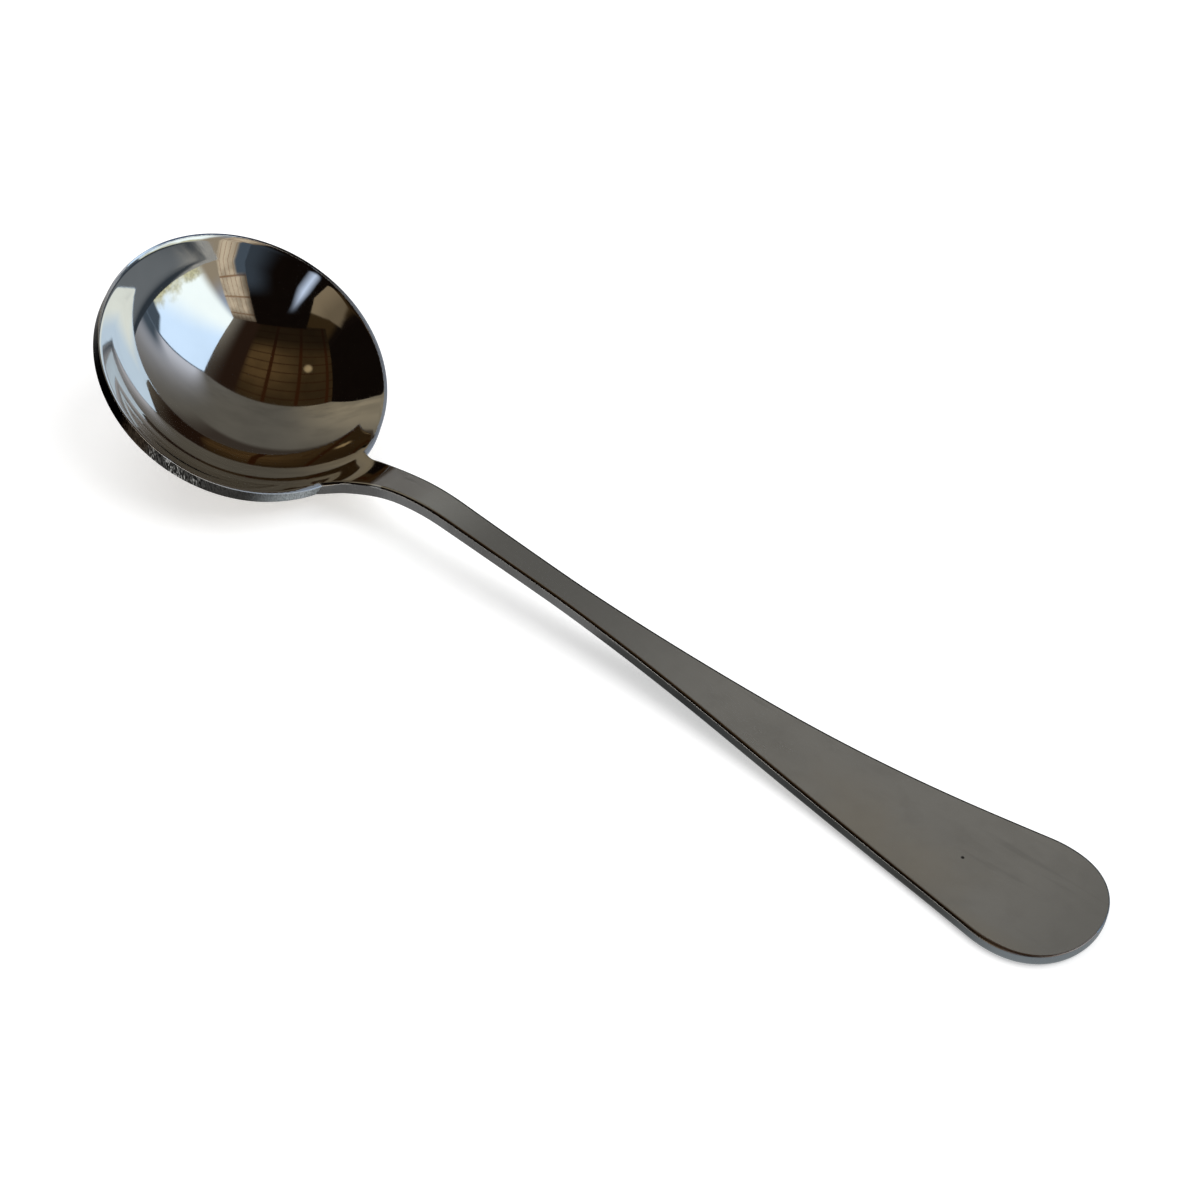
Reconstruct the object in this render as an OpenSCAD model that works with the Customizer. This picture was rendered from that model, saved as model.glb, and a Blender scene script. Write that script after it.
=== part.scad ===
// Cupping spoon, pressed from one sheet of stainless steel, as it lies on a table.
// +X runs from the bowl to the handle's end, +Z is up, and Z = 0 is the table.

/* [Sheet] */
// Thickness of the sheet steel
stock = 2; // [1.6:0.1:2.4]
// Overall length, from the bowl's tip to the handle's end
length = 170.5; // [160:0.5:185]

/* [Bowl] */
// Outer diameter of the ground rim
bowl_d = 45; // [41:0.5:49]
// Inside depth below the rim
bowl_depth = 11.4; // [10:0.1:13]
// Tilt of the rim as the spoon lies, with its tip up
bowl_tilt = 28; // [24:0.5:32]
// Width of the flat top edge of the rim
edge_w = 0.6; // [0.4:0.05:0.9]

/* [Neck] */
// Width where the neck leaves the rim
root_w = 9.2; // [7.5:0.1:11]
// Width of the neck past the flare
neck_w = 5.9; // [5.2:0.1:7]
// Length of the flare from the root width to the neck width
flare_len = 13; // [10:0.1:16]
// Straight rise of the neck, on from the bowl's wall
rise_len = 3; // [1.5:0.1:4.5]
// Radius of the crank over the neck, on its top face
crank_r = 33.5; // [26:0.5:42]
// Distance from the rim to the cut where bowl and handle meet
cut_x = 10; // [8:0.5:14]

/* [Handle] */
// Narrowest width of the shank
waist_w = 4.6; // [3.8:0.1:5.2]
// Distance from the rim to the narrowest place
waist_x = 41; // [34:0.5:48]
// Width that the shank's sides would reach at the end, without its round
end_w = 25.8; // [22:0.1:30]
// How late the shank widens: 1 is a straight taper
widen_power = 1.7; // [1.6:0.05:2.1]
// Length of the elliptical round of the end
round_len = 13; // [11:0.1:17]
// Length of the flat foot under the end
foot_len = 22; // [17:0.5:27]
// Radius of the sweep from the shank into the foot, on its top face
foot_r = 300; // [220:5:380]

/* [Hidden] */
$fn = 96;
steel = [0.62, 0.61, 0.58];
// Steps along each arc, and along each side of the plan outline
arc_steps = 16;
side_steps = 40;
// Larger than the spoon, for the cutting blocks
beyond = 400;

// The bowl is a piece of a sphere, cut by the rim's plane and by the ground rim's cylinder
rim_r = bowl_d / 2;
mouth_r = rim_r - edge_w;
inner_r = (mouth_r ^ 2 + bowl_depth ^ 2) / (2 * bowl_depth);
outer_r = inner_r + stock;
centre_h = inner_r - bowl_depth;
rim_face_h = sqrt(outer_r ^ 2 - rim_r ^ 2) - centre_h;

// How far the neck's root runs into the rim's wall
root_lap = edge_w / 2;

// The sphere rests on the table, and the lower edge of the rim's face is the spoon's far left
sphere_x = -length / 2 + (centre_h + rim_face_h) * sin(bowl_tilt) + rim_r * cos(bowl_tilt);
root_x = sphere_x - centre_h * sin(bowl_tilt) + mouth_r * cos(bowl_tilt);
root_z = outer_r - centre_h * cos(bowl_tilt) - mouth_r * sin(bowl_tilt);
end_x = length / 2;

// Side line of the top face: wall angle, rise, crank, straight run, sweep and foot
rise_a = asin(mouth_r / inner_r) - bowl_tilt;
crank_at = [root_x, root_z] + rise_len * [cos(rise_a), sin(rise_a)] + crank_r * [sin(rise_a), -cos(rise_a)];
foot_at = [end_x - foot_len, stock + foot_r];
apart = foot_at - crank_at;
// The straight run is the cross tangent of the crank's circle and the sweep's circle
run_a = atan2(apart[1], apart[0]) - asin((crank_r + foot_r) / norm(apart));

// Points of an arc from angle a to angle b
function arc(centre, r, a, b) =
    [for (i = [0:arc_steps]) let (t = a + (b - a) * i / arc_steps) centre + r * [cos(t), sin(t)]];

// Side line at a depth below the top face
function side_line(depth) = concat(
    [[root_x, root_z] - rise_len * [cos(rise_a), sin(rise_a)] + depth * [sin(rise_a), -cos(rise_a)]],
    arc(crank_at, crank_r - depth, 90 + rise_a, 90 + run_a),
    arc(foot_at, foot_r + depth, 270 + run_a, 270),
    [[end_x, stock - depth]]);

// Share of the way from a to b, kept between 0 and 1
function share(x, a, b) = min(max((x - a) / (b - a), 0), 1);

// Half the width of the neck and shank at x
function half_w(x) =
    let (flare = 1 - share(x, root_x, root_x + flare_len))
    let (taper = 1 - share(x, root_x, root_x + waist_x))
    let (widen = share(x, root_x + waist_x, end_x))
    let (cap = share(x, end_x - round_len, end_x))
    sqrt(1 - cap ^ 2) / 2 * (waist_w + (neck_w - waist_w) * taper ^ 2
        + (root_w - neck_w) * flare ^ 2 + (end_w - waist_w) * widen ^ widen_power);

// Stations along the plan, closer together toward both ends
function station(i) = root_x + (end_x - root_x) * (1 - cos(180 * i / side_steps)) / 2;

// The bent sheet, cut to the plan outline of the neck and shank
module strip() {
    start = root_x - rise_len;
    near = [for (i = [0:side_steps]) [station(i), -half_w(station(i))]];
    far = [for (i = [side_steps - 1:-1:0]) [station(i), half_w(station(i))]];
    top = side_line(0);
    low = side_line(stock);
    intersection() {
        rotate([90, 0, 0])
            linear_extrude(beyond, center = true)
                polygon(concat(top, [for (i = [len(low) - 1:-1:0]) low[i]]));
        translate([0, 0, -beyond / 2])
            linear_extrude(beyond)
                polygon(concat([[start, -root_w / 2]], near, far, [[start, root_w / 2]]));
    }
}

// Everything on the bowl's side of the cut
module bowl_side() {
    translate([root_x + cut_x - beyond, -beyond / 2, -beyond / 2])
        cube(beyond);
}

// Sets the bowl's own frame, with the sphere's centre at its origin, into the spoon
module in_bowl_frame() {
    translate([sphere_x, 0, outer_r])
        rotate([0, bowl_tilt, 0])
            children();
}

// The solid cylinder of radius r about the rim's axis, below the rim's plane
module rim_cylinder(r) {
    translate([0, 0, -centre_h - beyond])
        cylinder(r = r, h = beyond);
}

module bowl() {
    color(steel) {
        in_bowl_frame()
            difference() {
                intersection() {
                    sphere(outer_r);
                    rim_cylinder(rim_r);
                }
                sphere(inner_r);
            }
        difference() {
            intersection() {
                strip();
                bowl_side();
            }
            in_bowl_frame() {
                rim_cylinder(rim_r - root_lap);
                sphere(inner_r);
            }
        }
    }
}

module handle() {
    color(steel)
        difference() {
            strip();
            bowl_side();
        }
}

bowl();
handle();
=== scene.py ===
"""A pressed steel cupping spoon: its polished bowl, its bent handle, and the stage that it lies on."""

import math

import bmesh
import bpy
from bpy.props import FloatProperty, FloatVectorProperty, PointerProperty
from mathutils import Matrix, Vector


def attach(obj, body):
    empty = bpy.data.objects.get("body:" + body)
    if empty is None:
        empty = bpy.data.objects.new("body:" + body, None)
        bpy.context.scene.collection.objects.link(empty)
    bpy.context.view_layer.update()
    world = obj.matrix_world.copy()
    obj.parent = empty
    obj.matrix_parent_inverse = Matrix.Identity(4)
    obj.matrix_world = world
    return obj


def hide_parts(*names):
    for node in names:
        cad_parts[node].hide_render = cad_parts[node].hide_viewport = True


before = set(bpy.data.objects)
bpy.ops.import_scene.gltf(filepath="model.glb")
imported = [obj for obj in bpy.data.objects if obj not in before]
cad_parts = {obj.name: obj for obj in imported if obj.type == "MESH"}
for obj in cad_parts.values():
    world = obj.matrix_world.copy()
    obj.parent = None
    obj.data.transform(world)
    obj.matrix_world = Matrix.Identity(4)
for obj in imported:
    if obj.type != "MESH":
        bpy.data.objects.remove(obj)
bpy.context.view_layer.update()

bl_info = {
    "name": "Cupping Spoon",
    "version": (1, 0, 0),
    "blender": (4, 5, 0),
    "location": "3D View > Sidebar > Spoon",
    "description": "Builds a pressed steel cupping spoon and the stage that it lies on",
    "category": "Object",
}


# Sizes and colours that a user would change

def length_of(name, description, default):
    return FloatProperty(name=name, description=description, default=default, min=0.0,
                         unit="LENGTH", precision=5)


def angle_of(name, description, degrees):
    return FloatProperty(name=name, description=description, default=math.radians(degrees), subtype="ANGLE")


def number_of(name, description, default):
    return FloatProperty(name=name, description=description, default=default)


def colour_of(name, description, default):
    return FloatVectorProperty(name=name, description=description, default=default, size=3,
                               subtype="COLOR", min=0.0, soft_max=1.0)


class SpoonSizes(bpy.types.PropertyGroup):
    length: length_of("Length", "From the bowl's tip to the handle's end", 0.1705)
    stock: length_of("Sheet", "Thickness of the sheet steel", 0.002)
    bowl_d: length_of("Bowl", "Outer diameter of the ground rim", 0.045)
    bowl_depth: length_of("Depth", "Inside depth of the bowl below its rim", 0.0114)
    bowl_tilt: angle_of("Tilt", "Tilt of the rim as the spoon lies, with its tip up", 28.0)
    edge_w: length_of("Rim edge", "Width of the flat top edge of the rim", 0.0006)
    root_w: length_of("Root", "Width where the neck leaves the rim", 0.0092)
    neck_w: length_of("Neck", "Width of the neck past the flare", 0.0059)
    flare_len: length_of("Flare", "Length of the flare from the root to the neck", 0.013)
    rise_len: length_of("Rise", "Straight rise of the neck, on from the bowl's wall", 0.003)
    crank_r: length_of("Crank", "Radius of the crank over the neck", 0.0335)
    cut_x: length_of("Cut", "From the rim to the cut where bowl and handle meet", 0.010)
    waist_w: length_of("Waist", "Narrowest width of the shank", 0.0046)
    waist_x: length_of("Waist place", "From the rim to the narrowest place", 0.041)
    end_w: length_of("End", "Width that the shank's sides would reach at the end", 0.0258)
    widen_power: number_of("Widening", "How late the shank widens: 1 is a straight taper", 1.7)
    round_len: length_of("End round", "Length of the elliptical round of the end", 0.013)
    foot_len: length_of("Foot", "Length of the flat foot under the end", 0.022)
    foot_r: length_of("Sweep", "Radius of the sweep from the shank into the foot", 0.300)
    top_round: length_of("Top edges", "Rounding of the handle's upper edges", 0.0005)
    low_round: length_of("Low edges", "Rounding under the neck's sides and under the rim", 0.0002)
    edge_round: length_of("Under edge", "Rounding under the handle's sides, toward its end", 0.0008)
    lip_round: length_of("Rim corner", "Rounding of the rim's upper outer corner", 0.00016)
    mouth_round: length_of("Mouth corner", "Rounding of the rim's upper inner corner", 0.00008)
    roll_off: length_of("Roll-off", "How far buffing has worn the bowl's wall down at its mouth", 0.00028)
    lip_wear: length_of("Lip wear", "How much further the wall is worn down close to its lip", 0.00006)
    rim_end_w: length_of("Rim end", "Width between the two ends of the ground rim", 0.0098)
    rim_climb: length_of("Rim climb", "How far the rim climbs up the neck at its two ends", 0.00055)
    climb_arc: angle_of("Climb arc", "Turn of the rim over which its end climbs", 18.0)


class SteelColours(bpy.types.PropertyGroup):
    polish: colour_of("Polish", "Polished steel of the bowl", (0.76, 0.72, 0.66))
    brushed: colour_of("Brushed", "Satin steel of the handle", (0.70, 0.69, 0.665))
    neck: colour_of("Neck", "Satin steel of the neck", (0.94, 0.95, 0.92))
    # Handled: darker tone round the grip and toward the handle's end
    handled: colour_of("Handled", "Satin steel where fingers hold the shank", (0.45, 0.445, 0.43))
    stain: colour_of("Stain", "Faint stains in the handle's finish", (0.62, 0.61, 0.585))
    warm_stain: colour_of("Warm stain", "Warm stains by the handle's near edge", (0.7, 0.635, 0.53))
    # Dull edge: painted brown reflection on the end of the buffed rounding
    dull_edge_reflection: colour_of("Dull edge", "Near rounding at the handle's end", (0.42, 0.33, 0.28))
    # Lip: painted bluish reflection on the rim's dulled top edge
    lip: colour_of("Lip", "Narrow top edge of the rim", (0.40, 0.45, 0.53))
    # Outer lip: painted dark reflection on the lip's outer border
    outer_lip_dark_reflection: colour_of("Outer lip", "Dull outer border of the lip, on the far side", (0.07, 0.076, 0.1))
    # Ground rim tones, from bare to dark: painted reflections. The dark one also colours real marks and the
    # handle's pit, and the bare one, dimmed, is the far side's plain steel
    ground: colour_of("Ground rim", "Ground outer face of the rim", (0.05, 0.049, 0.047))
    rim_steel_and_sheen: colour_of("Bare rim", "Ground rim beside the neck", (0.46, 0.5, 0.52))
    rim_brown_reflection: colour_of("Browned rim", "Ground rim before its dark part", (0.05, 0.04, 0.031))
    dark_reflection_and_marks: colour_of("Dark rim", "Dark part and marks of the ground rim", (0.002, 0.0018, 0.0018))
    # Scratches: painted glints on the ground rim
    ground_glint: colour_of("Scratches", "Fresh scratches of the ground rim", (0.5, 0.5, 0.48))
    # Edge line and cut sides: painted dark reflection, darker than the steel's own colour
    line_light: colour_of("Edge line", "Worn line along the top of the cut sides", (0.12, 0.12, 0.118))
    line_dark: colour_of("Line marks", "Darker stretches of that line", (0.085, 0.085, 0.083))
    edge_light: colour_of("Cut edge", "Cut sides of the sheet", (0.1, 0.101, 0.1))
    edge_dark: colour_of("Edge marks", "Darker marks on the cut sides", (0.072, 0.071, 0.069))
    # Cut end: painted bluish reflection on the cut sides round the handle's end
    cut_end_reflection: colour_of("Cut end", "Cut side round the handle's end, little handled", (0.35, 0.385, 0.42))


class StageLook(bpy.types.PropertyGroup):
    floor: colour_of("Floor", "Pale floor", (0.86, 0.86, 0.86))
    grey_card: colour_of("Grey card", "Tall grey card behind the spoon", (0.1235, 0.119, 0.106))
    warm_card: colour_of("Warm end", "West end of the grey card", (0.31, 0.275, 0.205))
    half_lit: colour_of("Half lit", "East part of the grey card", (0.6, 0.66, 0.8))
    bright_card: colour_of("Bright card", "Tall bright card, at its north end", (0.82, 1.11, 1.52))
    white_card: colour_of("White end", "South part of the bright card", (1.18, 1.37, 1.48))
    foot_card: colour_of("Bright foot", "Dim foot of the bright card", (0.72, 0.74, 0.52))
    blue_card: colour_of("Blue card", "Dark blue corners of the cards", (0.07, 0.098, 0.138))
    lit_card: colour_of("Lit card", "Soft streak, and the bright card's far end", (0.69, 0.86, 1.18))
    top_card: colour_of("Top card", "Brown card overhead", (0.1, 0.062, 0.026))
    top_lines: colour_of("Top ribs", "Dark ribs of the top card", (0.024, 0.0085, 0.003))
    disc_card: colour_of("Disc", "Small pale disc on the top card", (0.36, 0.28, 0.16))
    front_card: colour_of("Front card", "Ribbed card in front of the spoon", (0.66, 0.58, 0.455))
    front_lines: colour_of("Front ribs", "Reddish ribs of the front card", (0.22, 0.113, 0.057))
    plain_card: colour_of("Plain card", "Plain cards in the south west", (0.235, 0.19, 0.128))
    brown_card: colour_of("Brown parts", "Dim brown parts of the cards", (0.021, 0.0115, 0.0075))
    dark_card: colour_of("Dark card", "Dark cards", (0.006, 0.004, 0.003))
    low_card: colour_of("Low card", "Grey card on the floor, beyond the spoon", (0.16, 0.185, 0.215))
    low_light: colour_of("Low patch", "Lighter part of the low card", (0.46, 0.47, 0.46))
    view_azimuth: angle_of("Azimuth", "Camera's turn round the spoon", 34.97)
    view_elevation: angle_of("Elevation", "Camera's height above the horizon", 42.31)
    view_roll: angle_of("Roll", "Camera's lean", 5.075)
    view_distance: length_of("Distance", "From the camera to the point it aims at", 0.3556)
    view_lens: number_of("Lens", "Focal length on a 36 mm sensor, in millimetres", 74.25)


# Shape worked out from the sizes

def share(value, start, end):
    """How far a value is from start to end, kept between 0 and 1."""
    return min(max((value - start) / (end - start), 0.0), 1.0)


def fade(value, start, end):
    """Goes smoothly from 1 at start to 0 at end."""
    t = share(value, start, end)
    return 1.0 - t * t * (3.0 - 2.0 * t)


def fillet(before, corner, after, radius, steps):
    """Points of a round corner in a plane, from one straight side to the other."""
    u = (before - corner).normalized()
    v = (after - corner).normalized()
    half = u.angle(v) / 2.0
    centre = corner + (u + v).normalized() * (radius / math.sin(half))
    start = corner + u * (radius / math.tan(half)) - centre
    end = corner + v * (radius / math.tan(half)) - centre
    sweep = start.angle(end)
    points = []
    for i in range(steps + 1):
        t = i / steps
        spoke = start * math.sin((1 - t) * sweep) + end * math.sin(t * sweep)
        points.append(centre + spoke / math.sin(sweep))
    return points


def turn_from_root(angle):
    """Turn round the rim from the neck's root, either way."""
    return abs((angle + math.pi) % (2 * math.pi) - math.pi)


class SpoonShape:
    """Places of the bowl's sphere and of the top face's side line."""

    def __init__(self, sizes):
        self.sizes = sizes
        tilt = sizes.bowl_tilt
        self.rim_r = sizes.bowl_d / 2
        self.mouth_r = self.rim_r - sizes.edge_w
        self.inner_r = (self.mouth_r ** 2 + sizes.bowl_depth ** 2) / (2 * sizes.bowl_depth)
        self.outer_r = self.inner_r + sizes.stock
        self.centre_h = self.inner_r - sizes.bowl_depth
        self.face_h = math.sqrt(self.outer_r ** 2 - self.rim_r ** 2) - self.centre_h
        sphere_x = (-sizes.length / 2 + (self.centre_h + self.face_h) * math.sin(tilt)
                    + self.rim_r * math.cos(tilt))
        self.sphere = Vector((sphere_x, 0.0, self.outer_r))
        # The rim's own directions: toward the handle, across, and out of the mouth
        self.along = Vector((math.cos(tilt), 0.0, -math.sin(tilt)))
        self.across = Vector((0.0, 1.0, 0.0))
        self.out = Vector((math.sin(tilt), 0.0, math.cos(tilt)))
        self.mouth = self.sphere - self.out * self.centre_h
        self.root_angle = math.asin(sizes.rim_end_w / 2 / self.rim_r)
        self.rise_a = math.asin(self.mouth_r / self.inner_r) - tilt
        self.end_x = sizes.length / 2
        self.set_side_line()

    def set_side_line(self):
        """Lengths of the rise, crank, straight run, sweep and foot, one after another."""
        sizes = self.sizes
        root = self.mouth + self.along * self.mouth_r
        self.root = Vector((root.x, root.z))
        rise = Vector((math.cos(self.rise_a), math.sin(self.rise_a)))
        self.crank_at = self.root + rise * sizes.rise_len + Vector((rise.y, -rise.x)) * sizes.crank_r
        self.foot_at = Vector((self.end_x - sizes.foot_len, sizes.stock + sizes.foot_r))
        apart = self.foot_at - self.crank_at
        lean = math.asin((sizes.crank_r + sizes.foot_r) / apart.length)
        self.run_a = math.atan2(apart.y, apart.x) - lean
        run_len = apart.length * math.cos(lean)
        self.crank_s = sizes.rise_len + sizes.crank_r * (self.rise_a - self.run_a)
        self.run_s = self.crank_s + run_len
        self.sweep_s = self.run_s - sizes.foot_r * self.run_a
        self.end_s = self.sweep_s + sizes.foot_len
        self.cut_s = self.length_at(self.root.x + sizes.cut_x)

    def side_point(self, s):
        """Point of the top face at length s from the rim's mouth, and its slope."""
        sizes = self.sizes
        if s < 0:
            a = self.rise_a + s / self.inner_r
            return self.sphere + Vector((math.sin(a), 0.0, -math.cos(a))) * self.inner_r, a
        if s < sizes.rise_len:
            a = self.rise_a
            flat = self.root + Vector((math.cos(a), math.sin(a))) * s
        elif s < self.crank_s:
            a = self.rise_a - (s - sizes.rise_len) / sizes.crank_r
            flat = self.crank_at + Vector((-math.sin(a), math.cos(a))) * sizes.crank_r
        elif s < self.run_s:
            a = self.run_a
            start = self.crank_at + Vector((-math.sin(a), math.cos(a))) * sizes.crank_r
            flat = start + Vector((math.cos(a), math.sin(a))) * (s - self.crank_s)
        elif s < self.sweep_s:
            a = self.run_a + (s - self.run_s) / sizes.foot_r
            flat = self.foot_at + Vector((math.sin(a), -math.cos(a))) * sizes.foot_r
        else:
            a = 0.0
            flat = Vector((self.foot_at.x + s - self.sweep_s, sizes.stock))
        return Vector((flat.x, 0.0, flat.y)), a

    def length_at(self, x):
        """Length along the side line at which it passes x, found by halving."""
        low, high = 0.0, self.end_s
        for _ in range(60):
            middle = (low + high) / 2
            if self.side_point(middle)[0].x < x:
                low = middle
            else:
                high = middle
        return high

    def half_width(self, s):
        """Half the width of the neck and shank at length s."""
        sizes = self.sizes
        x = self.side_point(s)[0].x
        root_x = self.root.x
        flare = 1 - share(x, root_x, root_x + sizes.flare_len)
        taper = 1 - share(x, root_x, root_x + sizes.waist_x)
        widen = share(x, root_x + sizes.waist_x, self.end_x)
        cap = share(x, self.end_x - sizes.round_len, self.end_x)
        width = (sizes.waist_w + (sizes.neck_w - sizes.waist_w) * taper ** 2
                 + (sizes.root_w - sizes.neck_w) * flare ** 2
                 + (sizes.end_w - sizes.waist_w) * widen ** sizes.widen_power)
        return math.sqrt(max(1 - cap * cap, 0.0)) * width / 2

    def before_end(self, s, span):
        """How far length s is through a span, given as two distances before the handle's end."""
        return share(s, self.end_s - span[0], self.end_s - span[1])

    def rim_point(self, radius, angle, height):
        """Point of the bowl by its radius, its angle from the handle and its height over the mouth."""
        return (self.mouth + self.along * (radius * math.cos(angle))
                + self.across * (radius * math.sin(angle)) + self.out * height)


# Cross section of the sheet: shares of its width, and steps round and down its cut side
ACROSS = [-1.0, -0.975] + [-0.95 + 0.1 * i for i in range(20)] + [0.975, 1.0]
ROUND_STEPS = 8
BUFFED_STEPS = 6
SIDE_SHARES = (0.04, 0.35, 0.65, 0.96)
LOW_STEPS = 5

# Metres before the handle's end over which its upper edges get sharper, and its lower edges rounder
SHARPER_SPAN = (0.009, 0.001)
ROUNDER_SPAN = (0.1, 0.02)
# Share of the upper rounding that the end lacks
END_LACKS = 0.65
# Step along the handle over which the slope of its outline is measured
SLOPE_STEP = 0.00005

# Finishes of the sheet's skin, in the order of the handle's materials
FACE, BUFFED, LINE, CUT = range(4)


def cut_side(stock, up, low):
    """The rounded side of the sheet as (outward, down), from its top face to its bottom face."""
    turns = [math.pi / 2 * i / ROUND_STEPS for i in range(ROUND_STEPS + 1)]
    side = [(up * math.sin(a), up * (1 - math.cos(a))) for a in turns]
    straight = stock - up - low
    side += [(up, up + straight * t) for t in SIDE_SHARES]
    turns = [math.pi / 2 * i / LOW_STEPS for i in range(LOW_STEPS + 1)]
    side += [(up - low * (1 - math.cos(a)), stock - low * (1 - math.sin(a))) for a in turns]
    return side


def flat_section(shape, s, rim_share=0.0, rim_half=0.0):
    """Loop round the flat sheet at length s, as (length, across, depth), from the near top edge."""
    sizes = shape.sizes
    half = shape.half_width(s)
    if s >= shape.end_s:
        normal = Vector((1.0, 0.0))
    else:
        step = min(SLOPE_STEP, (shape.end_s - s) / 2)
        slope = (shape.half_width(s + step) - shape.half_width(s - step)) / (2 * step)
        normal = Vector((-slope, 1.0)).normalized()
    up = sizes.top_round * (1 - END_LACKS * shape.before_end(s, SHARPER_SPAN))
    under = sizes.low_round + (sizes.edge_round - sizes.low_round) * shape.before_end(s, ROUNDER_SPAN)
    top = Vector((s, half)) - normal * up
    top = top * (1 - rim_share) + Vector((s, rim_half)) * rim_share
    side = cut_side(sizes.stock, up, under)
    low = top + normal * side[-1][0]
    loop = [(top.x, w * top.y, 0.0) for w in ACROSS]
    loop += [(top.x + normal.x * o, top.y + normal.y * o, d) for o, d in side[1:-1]]
    loop += [(low.x, w * low.y, sizes.stock) for w in reversed(ACROSS)]
    loop += [(top.x + normal.x * o, -top.y - normal.y * o, d) for o, d in reversed(side[1:-1])]
    return loop


def skin_finish(column):
    """Finish of the faces after this column of a loop. Only the near upper rounding is buffed."""
    steps = ROUND_STEPS + len(SIDE_SHARES) + 1 + LOW_STEPS
    far = len(ACROSS) - 1
    near = 2 * far + steps
    if far <= column < far + steps:
        down = column - far
        upper = LINE
    elif column >= near:
        down = steps - 1 - (column - near)
        upper = BUFFED
    else:
        return FACE
    if down < BUFFED_STEPS:
        return upper
    return LINE if down < ROUND_STEPS else CUT


# Mesh helpers

# Points closer than this become one, and shorter edges go
MERGE_WITHIN = 0.000002
SHORTEST_EDGE = 0.0000005
# Faces that meet at less than this angle are shaded as one
SMOOTH_BELOW = math.radians(32)


def add_grid(bm, rows, wrap, material_of):
    """Adds rows of points joined by faces. material_of gives a face's slot from its column."""
    made = [[bm.verts.new(point) for point in row] for row in rows]
    columns = len(rows[0])
    for lower, upper in zip(made, made[1:]):
        for i in range(columns if wrap else columns - 1):
            j = (i + 1) % columns
            face = bm.faces.new((lower[i], lower[j], upper[j], upper[i]))
            face.material_index = material_of(i)
    return made


def close_mesh(bm):
    """Merges the patches into one closed skin with its faces outward, smooth but for its corners."""
    bmesh.ops.remove_doubles(bm, verts=bm.verts, dist=MERGE_WITHIN)
    bmesh.ops.dissolve_degenerate(bm, edges=bm.edges, dist=SHORTEST_EDGE)
    bmesh.ops.recalc_face_normals(bm, faces=bm.faces)
    for face in bm.faces:
        face.smooth = True
    for edge in bm.edges:
        edge.smooth = len(edge.link_faces) == 2 and edge.calc_face_angle() < SMOOTH_BELOW


def finished_piece(mesh, name, node):
    """Puts a finished mesh into the scene in place of its CAD node."""
    piece = bpy.data.objects.new(name, mesh)
    bpy.context.scene.collection.objects.link(piece)
    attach(piece, "root")
    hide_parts(node)


# Node helpers

def add_node(tree, kind, inputs=None, **settings):
    """Adds a node, sets its options, and fills its inputs with values or links."""
    node = tree.nodes.new(kind)
    for key, value in settings.items():
        setattr(node, key, value)
    for key, value in (inputs or {}).items():
        if isinstance(value, bpy.types.NodeSocket):
            tree.links.new(value, node.inputs[key])
        else:
            node.inputs[key].default_value = value
    return node


def at_level(colour, level):
    """A colour made darker or lighter."""
    return [level * part for part in colour]


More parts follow.
